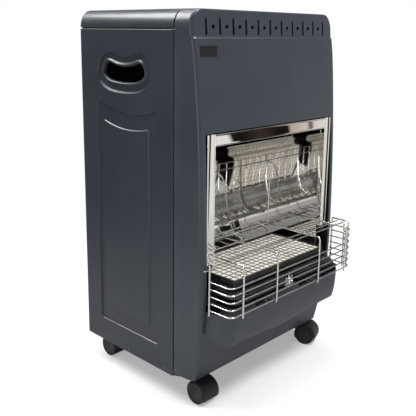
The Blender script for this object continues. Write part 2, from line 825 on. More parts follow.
def top_cover():
    """The sheet over the top and its shoulders, with the opening of the well."""
    skin = Skin()
    stations = [(SEAM_HALF, 1.1), (SEAM_HALF + 0.35, 0.35), (SEAM_HALF + 1.2, 0.0)]
    stations += [(y, 0.0) for y in (60, 130, 200, DEPTH - 2.4)]
    stations += [(DEPTH - 0.7, 0.6), (DEPTH, 2.2)]
    rings = [[(x, y, z) for x, z in shoulder_profile(inset)] for y, inset in stations]
    skin.loft(rings, closed=False, end=True)
    hole = Skin()
    hole.prism(well_outline(-0.1), HEIGHT - 8, HEIGHT + 4, 0.1)
    make("top_shell", skin, finish("cabinet_steel"), wall=SHEET,
         stands_for=["top_cover"], cutters=[hole], rounding=0.35, rounding_angle=50)


def handle_outline(margin):
    """Bean shape of the hand hole, grown by margin, in Y and Z."""
    half = [(0, 10), (22, 12.2), (43, 17.6), (53, 14), (58.7, 3), (54, -7), (38, -14.6), (18, -17)]
    left = [(-y, z) for y, z in reversed(half[1:])]
    loop = [tuple(p) for p in smooth_loop([*half, (0, -17.8), *left], 80)]
    signed = sum(a[0] * b[1] - b[0] * a[1] for a, b in zip(loop, loop[1:] + loop[:1]))
    if signed < 0:
        loop.reverse()
    return [(HANDLE_Y + y, HANDLE_HEIGHT + z) for y, z in grown(loop, margin)]


def recess_outline(inset):
    """The long pressing below the handle: straight sides and a sagging top, in Y and Z."""
    front, rear = RECESS_FRONT + inset * 1.03, RECESS_REAR - inset * 0.66
    bottom = RECESS_BOTTOM + inset
    corner = max(8.0 - inset * 0.1, 4.5)

    def upper(y):
        swing = math.asin((y - RECESS_LOW_Y) / RECESS_SWEEP)
        return RECESS_LOW + RECESS_SWEEP * (1 - math.cos(swing)) - inset * 1.1

    def lower_corner(middle_y, start):
        for step in range(7):
            angle = math.radians(start + 90 * step / 6)
            yield middle_y + corner * math.cos(angle), bottom + corner + corner * math.sin(angle)

    loop = [*lower_corner(rear - corner, -90), (rear, (bottom + upper(rear)) / 2)]
    for step in range(6):
        angle = math.radians(15 * step)
        height = upper(rear - corner) - corner * (1 - math.sin(angle))
        loop.append((rear - corner * (1 - math.cos(angle)), height))
    for step in range(29):
        y = rear - corner + (front - rear + 2 * corner) * step / 28
        loop.append((y, upper(y)))
    for step in range(5, -1, -1):
        angle = math.radians(15 * step)
        height = upper(front + corner) - corner * (1 - math.sin(angle))
        loop.append((front + corner * (1 - math.cos(angle)), height))
    return [*loop, (front, (bottom + upper(front)) / 2), *lower_corner(front + corner, 180)]


def side_panel(side):
    """A pressed side panel: folded edges, a dished hand hole and a long recess."""
    name = "right" if side > 0 else "left"
    skin = Skin()
    fold = in_mm(sizes().edge_round)

    def pressed(lift, outline):
        """A ring of points that stands out of the panel's face by lift."""
        return [(side * (HALF_WIDTH + lift), y, z) for y, z in outline]

    def edge_outline(inset):
        y = (SEAM_HALF + 0.5 + inset, DEPTH - inset)
        z = (FLOOR_GAP + inset, PANEL_TOP - inset)
        return rounded_rectangle(y, z, 2.2 - inset * 0.6, 3)

    steps = [(0.0, -5.0), (0.0, -fold), (fold * 0.13, -fold * 0.5), (fold * 0.5, -fold * 0.13), (fold, 0.0)]
    outer = skin.loft([pressed(lift, edge_outline(inset)) for inset, lift in steps])
    steps = [
        (20.6, 0.0), (20.1, -0.15), (19.5, -0.7), (18.8, -2.0), (18.1, -3.2), (17.4, -3.8), (16.2, -4.0),
        (7.8, -4.0), (7.1, -3.75), (6.3, -2.8), (5.5, -1.7), (4.5, -1.05), (3.4, -0.9), (2.3, -1.2),
        (1.3, -2.0), (0.5, -3.4), (0.0, -5.0), (0.0, -9.0), (1.1, -9.0),
    ]
    dish = skin.loft([pressed(lift, handle_outline(margin)) for margin, lift in steps])
    steps = [
        (0.0, 0.0), (0.4, -0.1), (0.9, -0.5), (1.6, -1.6), (2.3, -2.6), (3.0, -3.1), (4.2, -3.2),
        (27.6, -3.2), (28.6, -3.05), (29.4, -2.5), (30.2, -1.6), (31.0, -1.0), (32.2, -0.8),
    ]
    recess = skin.loft([pressed(lift, recess_outline(inset)) for inset, lift in steps], end=True)
    skin.fill(outer[-1], [dish[0], recess[0]])
    clips = []
    for share in (0.1, 0.5, 0.94):
        clip = Skin()
        front, rear = DEPTH * share - 5.5, DEPTH * share + 5.5
        low, high = FLOOR_GAP + 1.6, FLOOR_GAP + 16.5
        outline = [
            (front, low), (front + 1, low), (front + 1, high - 1), (rear - 1, high - 1), (rear - 1, low),
            (rear, low), (rear, high), (front, high),
        ]
        x = sorted((side * (HALF_WIDTH - 3), side * (HALF_WIDTH + 2)))
        clip.prism(outline, *x, 0.01, "YZ")
        clips.append(clip)
    make(f"pressed_side_{name}", skin, finish("cabinet_steel"),
         wall=SHEET, stands_for=[f"side_panel_{name}"], cutters=clips, smooth=50)

    inner = HALF_WIDTH - SHEET
    upstand = Skin()
    x = sorted((side * (inner - 1.6), side * (inner - 0.5)))
    upstand.block(x, (SEAM_HALF + 1.6, DEPTH - 4), (PANEL_TOP - 3.0, COVER_BOTTOM + 9.0), 0.25)
    make(f"top_joint_{name}", upstand, finish("matt_black_steel"))

    flanges = Skin()
    x = sorted((side * (inner - FLANGE), side * (inner - 0.6)))
    for y in ((SEAM_HALF, SEAM_HALF + SHEET), (DEPTH - SHEET, DEPTH)):
        flanges.block(x, y, (FLOOR_GAP + 23.0, PANEL_TOP - 0.4), 0.3)
    flanges.block(x, (SEAM_HALF + 1.3, DEPTH - 22), (PANEL_TOP - SHEET - 0.2, PANEL_TOP - 0.4), 0.3)
    make(f"folded_edges_{name}", flanges, finish("matt_black_steel"))


# ------------------------------------------------------------------ front moulding


def face_depth(height):
    """How far the middle of the front stands before the seam at a height."""
    if height <= RIDGE - 1.2:
        return read_profile(FACE_PROFILE, height - FLOOR_GAP)
    band = read_profile(FACE_PROFILE, RIDGE - FLOOR_GAP)
    step = min(max((height - RIDGE + 1.2) / 5.2, 0.0), 1.0)
    ease = 0.5 - 0.5 * math.cos(math.pi * step) if step < 1 else 1.0
    lean = 4.0 * max(height - RIDGE, 0.0) / (HEIGHT - RIDGE)
    fall = max(height - (HEIGHT - 3.0), 0.0) / 3.0
    top = 3.0 * (1 - math.sqrt(max(1 - fall * fall, 0.0)))
    return band - in_mm(sizes().ridge_step) * ease - lean - top


def face_ring(height, inset=0.0, angle=None, corner_steps=8, columns=10):
    """One level of the front, from the right seam round the face to the left seam.

    The inset gives the inner skin of the moulding. On the shoulder an angle sets the level."""
    if angle is None:
        seam, level = HALF_WIDTH - inset, height
    else:
        height = SHOULDER_BASE + SHOULDER_HEIGHT * math.sin(angle)
        seam = HALF_WIDTH - SHOULDER_WIDTH + (SHOULDER_WIDTH - inset) * math.cos(angle)
        level = SHOULDER_BASE + (SHOULDER_HEIGHT - inset) * math.sin(angle)
    depth = face_depth(height) - inset
    half = seam - read_profile(FLANK_PROFILE, height - FLOOR_GAP)
    corner = FACE_CORNER - inset
    right = [
        (seam - 4.0, -SEAM_HALF), (seam - 3.4, -SEAM_HALF - 0.9),
        (seam - 0.5, -SEAM_HALF - 1.3), (seam, -SEAM_HALF - 1.9),
    ]
    for share in (0.35, 0.7):
        right.append((seam + (half - seam) * share, -2.6 - (depth - corner - 2.6) * share))
    for step in range(corner_steps + 1):
        turn = math.pi / 2 * step / corner_steps
        right.append((half - corner + corner * math.cos(turn), -(depth - corner + corner * math.sin(turn))))
    last = right[-1]
    middle = [(last[0] * (1 - 2 * c / columns), last[1]) for c in range(1, columns)]
    left = [(-x, y) for x, y in reversed(right)]
    low = max(1 - (level - FLOOR_GAP) / 34.0, 0.0)
    ring = []
    for x, y in [*right, *middle, *left]:
        toward_seam = min(max(1 + (y + 3.0) / (depth - corner - 3.0), 0.0), 1.0)
        ring.append((x, y, level + 9.5 * low * toward_seam ** 1.5))
    return ring


def front_moulding():
    """The curved front with its window and vents, and the dark plate behind the vents."""
    skin = Skin()
    heights = [FLOOR_GAP + (RIDGE - 6.0 - FLOOR_GAP) * row / 40 for row in range(41)]
    heights += [RIDGE - 6.0 + 1.2 * row for row in range(1, 5)]
    heights += [RIDGE - 1.2 + 5.2 * row / 10 for row in range(1, 11)]
    heights += [RIDGE + 8.0, SHOULDER_BASE]
    levels = [(height, None) for height in heights]
    for angle in (8, 16, 24, 32, 40, 48, 55, 61, 65, 68, 71, 74, 77, 80, 83, 86, 90):
        levels.append((HEIGHT, math.radians(angle)))
    outer, inner = [
        skin.loft([face_ring(height, inset, angle) for height, angle in levels], closed=False, end=True)
        for inset in (0.0, MOULD)
    ]
    skin.bridge(outer[0], inner[0], closed=False)
    for end in (0, -1):
        for row in range(len(levels) - 1):
            skin.faces.append((outer[row][end], outer[row + 1][end], inner[row + 1][end], inner[row][end]))
    skin.faces.append((outer[-1][0], outer[-1][-1], inner[-1][-1], inner[-1][0]))
    window = Skin()
    half = WINDOW_HALF + WINDOW_GAP
    outline = rounded_rectangle((-half, half), (WINDOW_BOTTOM, WINDOW_TOP + 1.5), 3.0, 5)
    window.prism(outline, -100, -20, 0.1, "XZ")
    vents = Skin()
    width, height = in_mm(sizes().slot_width), in_mm(sizes().slot_height)
    tall = (SLOT_MIDDLE - height / 2, SLOT_MIDDLE + height / 2)
    for index in range(SLOT_COUNT):
        x = (index - (SLOT_COUNT - 1) / 2) * SLOT_PITCH
        outline = rounded_rectangle((x - width / 2, x + width / 2), tall, width * 0.46, 5)
        vents.prism(outline, -70, -20, 0.05, "XZ")
    reach = in_mm(sizes().dot_width) / 2
    for index in range(SLOT_COUNT - 1):
        x = (index - (SLOT_COUNT - 2) / 2) * SLOT_PITCH
        loop = []
        for corner in range(4):
            for share in (-0.36, 0.0, 0.36):
                angle = math.pi / 2 * corner + share
                size = reach * (0.95 if share == 0 else 0.92)
                loop.append((x + size * math.cos(angle), SLOT_MIDDLE + size * math.sin(angle)))
        vents.prism(loop, -70, -20, 0.05, "XZ")
    baffle = Skin()
    baffle.block((-186, 186), (2.0, 3.0), (HEIGHT - 86, HEIGHT - 6), 0.3)
    make("vent_baffle", baffle, finish("matt_black_steel"))
    make("moulded_front_shell", skin, finish("front_moulding"),
         stands_for=["front_fascia"], cutters=[window, vents], rounding=0.4, rounding_angle=55, smooth=40)


def blank_plate():
    """A plain dark plate on the upper left of the front."""
    skin = Skin()
    top, bottom = HEIGHT - 60.0, HEIGHT - 78.0
    loop = rounded_rectangle((-192, -152), (bottom, top), 1.2, 4)
    rings = []
    for margin, lift in ((0, 0.3), (0, 0.9), (-0.35, 1.25), (-0.8, 1.3)):
        rings.append([(x, -face_depth(z) - lift, z) for x, z in grown(loop, margin)])
    skin.loft(rings, start=True, end=True)
    make("plain_dark_plate", skin, finish("blank_black"), stands_for=["blank_plate"])


def trim_section(near, far, front, sag):
    """Section of a polished strip: a thin rolled lip on each side and a shallow hollow face."""
    roll, sunk = 0.9, 0.5

    def rolled_lip(middle):
        for step in range(7):
            angle = math.pi * step / 6
            yield middle - roll * math.cos(angle), front + roll - roll * math.sin(angle)

    face = []
    low, high = near + 2 * roll + 0.5, far - 2 * roll - 0.5
    for step in range(11):
        across = 2 * step / 10 - 1
        along = (low + high) / 2 + across * (high - low) / 2
        face.append((along, front + sunk + sag * (1 - across * across)))
    back = front + TRIM_DEPTH
    return [(near, back), *rolled_lip(near + roll), *face, *rolled_lip(far - roll), (far, back)]


def trim_strip(name, node, section, low, high, plane):
    """A strip of one section, upright (Z) or level (X)."""
    skin = Skin()
    rings = []
    for at in (low, low + 0.6, (low + high) / 2, high - 0.6, high):
        rings.append([(a, b, at) if plane == "Z" else (at, b, a) for a, b in section])
    skin.loft(rings, closed=False)
    make(name, skin, finish("bright_trim"), wall=0.8, stands_for=[node], smooth=50)


def window_trim():
    """The two bright posts of the window and the band between their tops."""
    for side, name in ((-1, "left"), (1, "right")):
        edges = sorted((side * WINDOW_INNER, side * WINDOW_HALF))
        section = trim_section(*edges, -TRIM_FRONT, 0.55)
        ends = (WINDOW_TOP - POST_LENGTH, WINDOW_TOP)
        trim_strip(f"bright_post_{name}", f"window_post_{name}", section, *ends, "Z")
    section = trim_section(WINDOW_TOP - BAND_WIDTH, WINDOW_TOP, -TRIM_FRONT, 0.0)
    reach = WINDOW_INNER - TOUCH
    trim_strip("bright_band", "window_top_band", section, -reach, reach, "X")


def apron_low(x):
    """Height of the apron's lower edge at a place across it."""
    reach = abs(x)
    sag, sag_half = 8.5, 104
    if reach < sag_half:
        return APRON_BOTTOM - sag * (0.5 + 0.5 * math.cos(math.pi * reach / sag_half))
    table = [(sag_half, 0.0), (165, 0.0), (172, 0.9), (178, 3.4), (183, 8.0), (187, 15.5), (189, 21.0)]
    return APRON_BOTTOM + read_profile(table, reach)


def apron_level(x, share):
    """Height on the apron, share of the way down from its top at a place across it."""
    return APRON_TOP - (APRON_TOP - apron_low(x)) * share


def lower_apron():
    """The apron that bulges below the burner, and the two clips over its edge."""
    rows = 26
    corner_depth = 78.0
    fixed = [(APRON_HALF, -34.0), (APRON_HALF, -46.0), (APRON_HALF - 0.5, -58.0), (APRON_HALF - 1.5, -68.0)]
    corner = bezier([(APRON_HALF - 3, 0), (APRON_HALF - 11, 1), (APRON_HALF - 36, 1)], 14)
    columns = [*corner, *[(x, 1) for x in (140, 125, 104, 86, 68, 50, 34, 17, 0)]]
    rings = []
    for row in range(rows + 1):
        share = 1 - (1 - row / rows) ** 1.25
        ring = [(x, y, apron_level(x, share)) for x, y in fixed]
        for x, forward in columns:
            level = apron_level(x, share)
            depth = read_profile(APRON_PROFILE, APRON_TOP - level)
            ring.append((x, -corner_depth - (depth - corner_depth) * forward, level))
        rings.append([*ring, *[(-x, y, z) for x, y, z in reversed(ring[:-1])]])
    skin = Skin()
    skin.loft(rings, closed=False)
    make("moulded_apron", skin, finish("front_moulding"), wall=MOULD,
         stands_for=["lower_apron"], rounding=0.8, rounding_angle=60, smooth=45)
    clips = Skin()
    for x in (-INNER_UPRIGHT, INNER_UPRIGHT):
        clips.block((x - 26, x - 7), (-107.0, -99.5), (APRON_TOP - 4.0, APRON_TOP + 2.2), 0.8)
    make("apron_clips", clips, finish("matt_black_steel"))


# ------------------------------------------------------------------ burner


def fin_outline(step, notch=False):
    """Outline of a cooling fin, with room for the pilot where it has a notch."""
    half = BURNER_HALF + 3.0 + 5.2 * step
    front = -(BURNER_FRONT + 3.0 + 4.6 * step)
    rear = TRIM_REAR - 4.0
    loop = [(half, rear), (-half, rear)]
    corner = 14.0
    for middle, start in ((-half + corner, 180), (half - corner, 270)):
        for turn in range(7):
            angle = math.radians(start + 90 * turn / 6)
            loop.append((middle + corner * math.cos(angle), front + corner + corner * math.sin(angle)))
        if start == 180 and notch:
            low, high, back = PILOT_X - 18, PILOT_X + 18, -86.5
            loop += [(low, front), (low, back), (high, back), (high, front)]
    return loop


def burner():
    """The burner's tray and fins, the three ceramic plaques and the gauze over them."""
    housing = Skin()
    half, front, rear = BURNER_HALF + 3.0, -BURNER_FRONT - 3.0, BURNER_REAR + 3.0
    ledge = PLAQUE_FACE - 3.0
    steps = [
        (0, BOX_BOTTOM), (0, BOX_TOP - 0.8), (-0.3, BOX_TOP - 0.2), (-0.9, BOX_TOP),
        (-2.2, BOX_TOP), (-2.7, BOX_TOP - 0.4), (-2.7, ledge),
    ]
    rings = []
    for margin, z in steps:
        x, y = (-half - margin, half + margin), (front - margin, rear + margin)
        rings.append([(*spot, z) for spot in rounded_rectangle(x, y, 4.0 + margin, 5)])
    housing.loft(rings, start=True)
    inner = rounded_rectangle((-half + 8, half - 8), (front + 8, rear - 8), 1.0, 5)
    housing.bridge(housing.ring(rings[-1]), housing.ring([(x, y, ledge) for x, y in inner]))
    make("burner_tray", housing, finish("burner_black"), stands_for=["burner_box"])
    fins = Skin()
    for index in range(6):
        top = BOX_TOP - 4.0 - 44.0 / 6 * index
        fins.prism(fin_outline(index + 0.5, notch=index >= 3), top - 1.8, top, 0.5)
    make("burner_fins", fins, finish("burner_black"), smooth=30)
    for index in range(3):
        x = (index - 1) * PLAQUE_PITCH
        plaque = Skin()
        plaque.prism(rounded_rectangle((x - 45.5, x + 45.5), (-BURNER_FRONT, BURNER_REAR), 0.8, 2),
                     PLAQUE_FACE - 13.0, PLAQUE_FACE, 0.5)
        make(f"burner_plaque_{index + 1}", plaque, finish("burner_ceramic"),
             stands_for=[f"ceramic_plaque_{index + 1}"])
    gauze()


def gauze():
    """The square gauze over the ceramic, with its wires woven over and under."""
    skin = Skin()
    radius = in_mm(sizes().gauze_wire) / 2
    columns, rows = sizes().gauze_columns, sizes().gauze_rows
    half = BURNER_HALF - 2.0 - radius
    front, rear = -BURNER_FRONT + 2.0 + radius, BURNER_REAR - 2.0 - radius
    middle = PLAQUE_FACE + TOUCH + radius * 0.95
    swing = radius * 0.42
    for column in range(columns + 1):
        x = -half + 2 * half * column / columns
        path = []
        for step in range(2 * rows + 1):
            y = front + (rear - front) * step / (2 * rows)
            over = math.cos(math.pi * step / 2) * (1 if column % 2 else -1)
            path.append((x, y, middle + swing * over))
        skin.tube(path, radius * 0.82, 6)
    for row in range(rows + 1):
        y = front + (rear - front) * row / rows
        path = []
        for step in range(2 * columns + 1):
            x = -half + 2 * half * step / (2 * columns)
            over = math.cos(math.pi * step / 2) * (-1 if row % 2 else 1)
            path.append((x, y, middle + swing * over))
        skin.tube(path, radius * 0.82, 6)
    make("woven_gauze", skin, finish("heat_wire"), stands_for=["burner_gauze"], smooth=60)


def pilot():
    """The pilot's nozzle, the spark's insulator and the flame probe, left to right."""
    base = PILOT_BASE + 1.8
    torch = [
        (0, 0), (4.2, 0), (4.4, 0.4), (4.4, 4.6), (3.5, 5.8), (3.4, 12), (4.2, 13), (4.2, 15.6),
        (3.8, 16), (2.2, 16), (2.2, 12), (0, 12),
    ]
    spark = [
        (0, 0), (3.2, 0), (3.4, 0.5), (3.4, 4), (3.0, 4.6), (3.4, 5.2), (3.4, 12.4), (3.0, 13.6),
        (2.2, 14.8), (1.0, 15.2), (0.9, 19.7), (0, 20),
    ]
    probe = [(0, 0), (3.5, 0), (3.6, 0.4), (3.6, 5.8), (2.4, 6.8), (2.2, 16.6), (1.6, 18.2), (0, 18.6)]
    for name, profile, shift, look, slot, node in (
        ("pilot_torch", torch, -8, "zinc_plate", "brass_fittings", "pilot_burner"),
        ("spark_insulator", spark, 1.5, "porcelain", "porcelain", "igniter_electrode"),
        ("flame_probe", probe, 10.5, "drawn_pipe", "brass_fittings", "thermocouple"),
    ):
        skin = Skin()
        skin.turned(profile, (PILOT_X + shift, PILOT_Y, base), "Z", 24)
        make(name, skin, finish(look), stands_for=[node])


# ------------------------------------------------------------------ reflector


def reflector_curve(steps=40):
    """The reflector's section, from behind the burner up to the top of the window."""
    controls = [
        (BURNER_REAR + 2.0, BOX_TOP + TOUCH + 0.5), (REFLECTOR_BACK + 14, BOX_TOP + 82),
        (REFLECTOR_BACK - 4, REFLECTOR_TOP - 32), (TRIM_REAR + TOUCH, REFLECTOR_TOP),
    ]
    return [tuple(p) for p in bezier(controls, steps)]


def reflector():
    """The curved reflector and its two flat ends."""
    sheet = Skin()
    curve = reflector_curve()
    half = WINDOW_INNER - 1.4
    stations = [-half + 2 * half * step / 12 for step in range(13)]
    sheet.loft([[(x, y, z) for y, z in curve] for x in stations], closed=False)
    make("curved_reflector", sheet, finish("polished_reflector"), wall=0.9, inward=False,
         stands_for=["reflector_back"], smooth=60)
    for side, name in ((-1, "left"), (1, "right")):
        end = Skin()
        bottom = BOX_BOTTOM + 0.1
        front = TRIM_REAR + TOUCH
        edge = [(y + 2.4, z + 1.1) for y, z in curve]
        outline = [(front, bottom), (edge[0][0], bottom), *edge[:-1], (front, REFLECTOR_TOP + 1.1)]
        x = sorted((side * WINDOW_INNER, side * (WINDOW_INNER - 1.0)))
        end.prism(outline, *x, 0.15, "YZ")
        make(f"reflector_wing_{name}", end, finish("polished_reflector"),
             stands_for=[f"reflector_end_{name}"], smooth=30)


# ------------------------------------------------------------------ wire guard


def guard():
    """The front basket, the grille that hooks over the apron, and the guard's brackets."""
    row, upright = in_mm(sizes().row_wire), in_mm(sizes().upright_wire)
    basket = Skin()
    half, front, rear = GUARD_HALF, -GUARD_FRONT, -GUARD_REAR
    for index in range(5):
        z = ROW_LOWEST + ROW_PITCH * index
        corners = [(-half, rear, z), (-half, front, z), (half, front, z), (half, rear, z)]
        basket.tube(rounded_route(corners, GUARD_BEND), row / 2)
    for index in (5, 6):
        z = ROW_LOWEST + ROW_PITCH * index
        corners = [(OUTER_UPRIGHT - 3, front, z), (half, front, z), (half, rear, z)]
        basket.tube(rounded_route(corners, GUARD_BEND), row / 2)
    outside = half + (row + upright) / 2 - 0.8
    bottom, back, top = ROW_LOWEST - 9.0, rear - 2.0, GRILLE_HEIGHT + 4.0
    corner = front + GUARD_BEND
    basket.tube([(-outside, back, bottom), (-outside, back, GRILLE_HEIGHT - 6)], upright / 2, 12)
    basket.tube([(outside, back, bottom), (outside, back, top)], upright / 2, 12)
    basket.tube([(outside, corner + 6, bottom), (outside, corner + 6, top - 8)], upright / 2, 12)
    bent = [(outside, back, top), (outside, corner - 4, top), (outside, corner - 4, bottom + 4)]
    basket.tube(rounded_route(bent, 8.0), upright / 2, 12)
    hook = GRILLE_HEIGHT - 13.0
    for side in (-1, 1):
        basket.tube([(side * (half + 15), back, hook), (side * (half - 10), back, hook)], row / 2)
    make("wire_basket", basket, finish("guard_wire"),
         stands_for=["guard_basket"], smooth=60)

    grille = Skin()
    face = front - (row + upright) / 2 - TOUCH
    low = APRON_TOP + TOUCH + upright / 2
    tuck = -APRON_PROFILE[0][1] + MOULD + upright + 2.0
    deep = 26.0
    for x in (-OUTER_UPRIGHT, -INNER_UPRIGHT, INNER_UPRIGHT, OUTER_UPRIGHT):
        route = [(x, face, low), (x, face, GRILLE_HEIGHT), (x, deep, GRILLE_HEIGHT)]
        if abs(x) == INNER_UPRIGHT:
            route = [(x, tuck, low - 12), (x, tuck, low), *route]
        grille.tube(rounded_route(route, 6.0), upright / 2, 12)
    height = GRILLE_HEIGHT + 1.6
    reach = OUTER_UPRIGHT
    for y, end, drop in (
        (-105, half - 4, 0), (-89, half - 4, 0), (deep - 19, reach, 0), (deep - 1, reach, 0),
        (deep - 56, reach, 3),
    ):
        grille.tube([(-reach, y, height - drop), (end, y, height - drop)], row / 2)
    for index in range(12):
        x = (index - 5.5) * 26.0
        grille.tube([(x, deep - 56, height - 3), (x, deep - 1, height - 1)], (row - 0.4) / 2, 8)
    arch = INNER_UPRIGHT + 3.4
    rise = REFLECTOR_TOP - GRILLE_HEIGHT - 8
    knots = [
        (arch, deep - 19, GRILLE_HEIGHT - 1), (arch, deep - 19, GRILLE_HEIGHT + rise * 0.5),
        (arch, deep - 34, GRILLE_HEIGHT + rise * 0.82), (arch, TRIM_REAR + 4, GRILLE_HEIGHT + rise),
    ]
    grille.tube(rounded_route(knots, 34.0, 10), row / 2)
    make("wire_grille", grille, finish("guard_wire"),
         stands_for=["guard_grille"], smooth=60)

    bracket = Skin()
    post_end = WINDOW_TOP - POST_LENGTH
    for side in (-1, 1):
        x = sorted((side * (WINDOW_HALF - 1), side * (WINDOW_INNER + 4)))
        bracket.block(x, (-TRIM_FRONT + 1, TRIM_REAR - 1), (post_end - 12.0, post_end - 0.5), 0.8)
    make("guard_brackets", bracket, finish("matt_black_steel"))


# ------------------------------------------------------------------ controls


def control_well():
    """The tub in the top, with the openings for the knob and the button in its floor."""
    well = Skin()
    rim = HEIGHT - 0.4
    under = HEIGHT - SHEET - TOUCH
    inside = [
        (-8.0, under - 1.2), (-8.0, under), (TOUCH, under), (TOUCH, rim - 0.5), (TOUCH + 0.5, rim),
        (1.2, rim), (1.9, rim - 0.6), (2.2, rim - 2), (2.6, WELL_FLOOR + 7.0), (3.4, WELL_FLOOR + 4.0),
        (5.0, WELL_FLOOR + 2.1), (7.5, WELL_FLOOR + SHEET),
    ]
    outside = [
        (7.5, WELL_FLOOR), (2.0, WELL_FLOOR), (1.0, WELL_FLOOR + 2.0), (TOUCH, WELL_FLOOR + 6.0),
        (TOUCH, under - 1.2),
    ]
    upper, lower = [
        well.loft([[(x, y, z) for x, y in well_outline(inset)] for inset, z in steps])
        for steps in (inside, outside)
    ]
    well.bridge(lower[-1], upper[0])
    openings = []
    for x, radius in ((KNOB_X, 5.5), (BUTTON_X, 8.5)):
        circle = []
        for step in range(32):
            angle = 2 * math.pi * step / 32
            circle.append((x + radius * math.cos(angle), CONTROL_Y + radius * math.sin(angle)))
        depths = (WELL_FLOOR + SHEET, WELL_FLOOR)
        openings.append(well.loft([[(*spot, z) for spot in circle] for z in depths]))
    well.fill(upper[-1], [opening[0] for opening in openings])
    well.fill(lower[0], [opening[1] for opening in openings])
    make("control_tub", well, finish("well_plastic"),
         stands_for=["control_well"], smooth=40)


def turned_knob():
    """The round knob with its raised grip, and the pointer on top."""
    base = WELL_FLOOR + SHEET + 5.0
    knob = Skin()
    skirt = [
        (4.2, 9), (4.2, 0), (20.8, 0), (21.6, 0.3), (22, 1.0), (22, 2.8), (21.4, 3.8), (19.4, 5.4),
        (18.4, 5.9), (17, 6.1), (0, 6.1),
    ]
    knob.turned(skirt, (KNOB_X, CONTROL_Y, base), "Z", 64)
    grip = rounded_rectangle((KNOB_X - 5.5, KNOB_X + 5.5), (CONTROL_Y - 20, CONTROL_Y + 20), 5.4, 8)
    steps = [
        (1.6, 5.9), (0.7, 6.6), (0.2, 7.8), (-0.2, 12), (-0.5, 14.6), (-1.1, 16.0), (-2.2, 16.8),
        (-3.4, 17.0),
    ]
    rings = [[(x, y, base + z) for x, y in grown(grip, margin)] for margin, z in steps]
    knob.loft(rings, start=True, end=True)
    make("turned_knob", knob, finish("knob_plastic"), body="knob",
         stands_for=["control_knob"], smooth=45)
    pointer = Skin()
    top = base + 17.0
    pointer.block((KNOB_X - 0.7, KNOB_X + 0.7), (CONTROL_Y - 17, CONTROL_Y - 7), (base + 16.7, top), 0.15)
    make("knob_pointer", pointer, finish("porcelain"), body="knob")


def spark_button():
    """The ignition button with its dished cap."""
    button = Skin()
    profile = [
        (0, -12), (6, -12), (6, 7.5), (7.1, 7.8), (7.5, 8.4), (7.5, 16.6), (7.2, 17.8), (6.4, 18.6),
        (5.0, 19.0), (3.0, 18.6), (0, 18.2),
    ]
    button.turned(profile, (BUTTON_X, CONTROL_Y, WELL_FLOOR + SHEET), "Z", 48)
    make("spark_button", button, finish("knob_plastic"), body="ignition_button",
         stands_for=["igniter_button"], smooth=45)


# ------------------------------------------------------------------ rear cover


def bulge_ring(y, share, inset):
    """The cover's bulge at a depth, narrowing as share goes from 0 to 1."""
    half = BULGE_HALF + (BULGE_REAR_HALF - BULGE_HALF) * share - inset
    top = BULGE_TOP - BULGE_DROP * share - inset
    loop = [(half, COVER_BASE)]
    for middle, start in ((half - BULGE_CORNER, 0), (-half + BULGE_CORNER, 90)):
        for step in range(9):
            angle = math.radians(start + 90 * step / 8)
            up = top - BULGE_CORNER + BULGE_CORNER * math.sin(angle)
            loop.append((middle + BULGE_CORNER * math.cos(angle), up))
    loop.append((-half, COVER_BASE))
    return [(x, y, z) for x, z in loop]


def rear_cover():
    """The lift-off cover with its bulge and louvres, and the clips that hold it."""
    near = DEPTH + TOUCH
    flat = near + SHEET
    skin = Skin()
    stations = [(flat, 0.0, -2.4), (flat + 0.6, 0.0, -0.9), (flat + 2.2, 0.02, 0.0)]
    stations += [(near + BULGE_DEPTH * share - 2.0, share, 0.0) for share in (0.2, 0.4, 0.6, 0.8, 0.92)]
    stations += [(near + 91.4, 0.975, 0.4), (near + 92.9, 1.0, 2.2), (DEPTH + BULGE_DEPTH, 1.0, 5.0)]
    mouth = skin.loft([bulge_ring(*station) for station in stations], closed=False, end=True)[0]
    rim = rounded_rectangle((-COVER_HALF, COVER_HALF), (COVER_BASE, COVER_TOP), 5.0, 5)
    rim_ring = skin.ring([(x, flat, z) for x, z in rim])
    skin.fill([*rim_ring, *reversed(mouth)])
    louvres = Skin()
    for side in (-1, 1):
        for row in range(8):
            z = COVER_BASE + 140.0 + row * 16.0
            outline = rounded_rectangle((side * 60 - 34, side * 60 + 34), (z, z + 5), 2.4, 5)
            louvres.prism(outline, DEPTH + 80, DEPTH + 100, 0.05, "XZ")
    for index in range(9):
        x = (index - 4) * 38
        outline = rounded_rectangle((x - 13, x + 13), (COVER_TOP - 46, COVER_TOP - 41), 2.4, 5)
        louvres.prism(outline, near - 3, flat + 3, 0.05, "XZ")
    make("bottle_cover", skin, finish("cabinet_steel"), body="back_cover", wall=SHEET,
         stands_for=["rear_cover"], cutters=[louvres], rounding=0.3, rounding_angle=60, smooth=40)
    clips = Skin()
    outer = HALF_WIDTH - SHEET - FLANGE - TOUCH
    for z in (COVER_BASE + 80, COVER_TOP - 90):
        for side in (-1, 1):
            x = sorted((side * (outer - 1.5), side * outer))
            clips.block(x, (near - 9, near + 0.1), (z, z + 26), 0.3)
    make("cover_clips", clips, finish("zinc_plate"), body="back_cover")


# ------------------------------------------------------------------ casters


